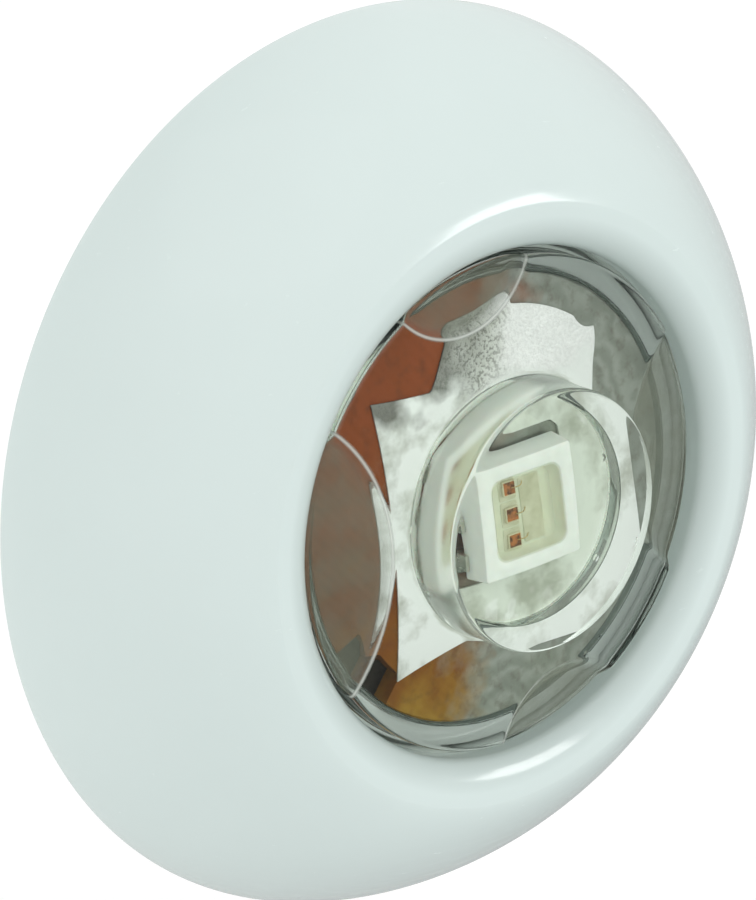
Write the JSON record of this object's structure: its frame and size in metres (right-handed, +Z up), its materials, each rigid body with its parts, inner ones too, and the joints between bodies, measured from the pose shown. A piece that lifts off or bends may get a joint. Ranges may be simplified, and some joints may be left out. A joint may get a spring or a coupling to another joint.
{
  "type": "underwater pool light",
  "caption": "Small round through-wall underwater light: domed white face ring, clear lens with a raised boss over a square LED, short threaded tail, locknut and side-turned cable.",
  "frame": {"origin": "middle of the small flat at the top of the lens's domed boss, on the light's axis", "axes": "-Y out of the lens into the water, +Y back through the wall along the tail, +Z up, +X across; the wet face of the wall is the plane y = 0.0125"},
  "size_m": [0.0487, 0.0385, 0.046],
  "materials": {
    "white_abs": "glossy moulded, cool white",
    "clear_plastic": "polished, water clear",
    "grey_abs": "fine satin moulding",
    "black_rubber": "matt",
    "seal_silicone": "pale translucent",
    "clear_potting": "clear",
    "brown_board": "rust-brown board, satin lacquer",
    "green_board": "green solder mask, satin",
    "tinned_copper": "tinned, slightly rough",
    "led_ceramic": "white moulded LED package, satin",
    "led_gel": "clear silicone gel",
    "die_semiconductor": "polished chip",
    "aluminium": "turned, satin",
    "thermal_silicone": "matt",
    "slip_nylon": "natural nylon, satin",
    "chip_epoxy": "matt black epoxy",
    "potting_resin": "satin black resin",
    "cable_pvc": "satin black",
    "wire_red": "satin",
    "wire_green": "satin",
    "wire_blue": "satin",
    "wire_white": "satin",
    "wire_brown": "satin"
  },
  "bodies": {
    "light_body": {"housing": "grey_abs", "wall_gasket": "black_rubber", "lens": "clear_plastic", "lens_oring": "seal_silicone", "led_body": "led_ceramic", "led_potting": "clear_potting", "led_gel": "led_gel", "led_die_red": "die_semiconductor", "led_die_green": "die_semiconductor", "led_die_blue": "die_semiconductor", "led_lead_1": "tinned_copper", "led_lead_2": "tinned_copper", "led_lead_3": "tinned_copper", "led_lead_4": "tinned_copper", "led_lead_5": "tinned_copper", "led_lead_6": "tinned_copper", "led_board": "brown_board", "heat_pad": "tinned_copper", "thermal_pad": "thermal_silicone", "heat_spreader": "aluminium", "led_wire_white": "wire_white", "led_wire_red": "wire_red", "led_wire_green": "wire_green", "led_wire_blue": "wire_blue", "driver_board": "green_board", "controller_chip": "chip_epoxy", "bridge_rectifier": "chip_epoxy", "resistor_1": "chip_epoxy", "resistor_2": "chip_epoxy", "resistor_3": "chip_epoxy", "capacitor": "aluminium", "rear_cap": "grey_abs", "potting_plug": "potting_resin", "cable_jacket": "cable_pvc", "core_brown": "wire_brown", "core_blue": "wire_blue", "core_tip_brown": "tinned_copper", "core_tip_blue": "tinned_copper", "strain_relief": "black_rubber"},
    "slip_washer": {"slip_washer": "slip_nylon"},
    "face_ring": {"face_ring": "white_abs"},
    "wall_washer": {"wall_washer": "slip_nylon"},
    "locknut": {"locknut": "grey_abs"}
  },
  "joints": [
    {"name": "ring_travel", "type": "slide", "parent": "light_body", "child": "slip_washer", "axis": [0, -1, 0], "range_m": [0, 0.00375]},
    {"name": "ring_turn", "type": "hinge", "parent": "slip_washer", "child": "face_ring", "pos_m": [0, 0.007, 0], "axis": [0, -1, 0], "range_deg": [0, 900]},
    {"name": "clamp_travel", "type": "slide", "parent": "light_body", "child": "wall_washer", "axis": [0, 1, 0], "range_m": [-0.0015, 0.003]},
    {"name": "locknut_turn", "type": "hinge", "parent": "wall_washer", "child": "locknut", "pos_m": [0, 0.0186, 0], "axis": [0, 1, 0], "range_deg": [-360, 720]}
  ],
  "couplings": [
    {"joint": "ring_travel", "follows": "ring_turn", "m_per_rad": 0.00023873},
    {"joint": "clamp_travel", "follows": "locknut_turn", "m_per_rad": 0.00023873}
  ]
}
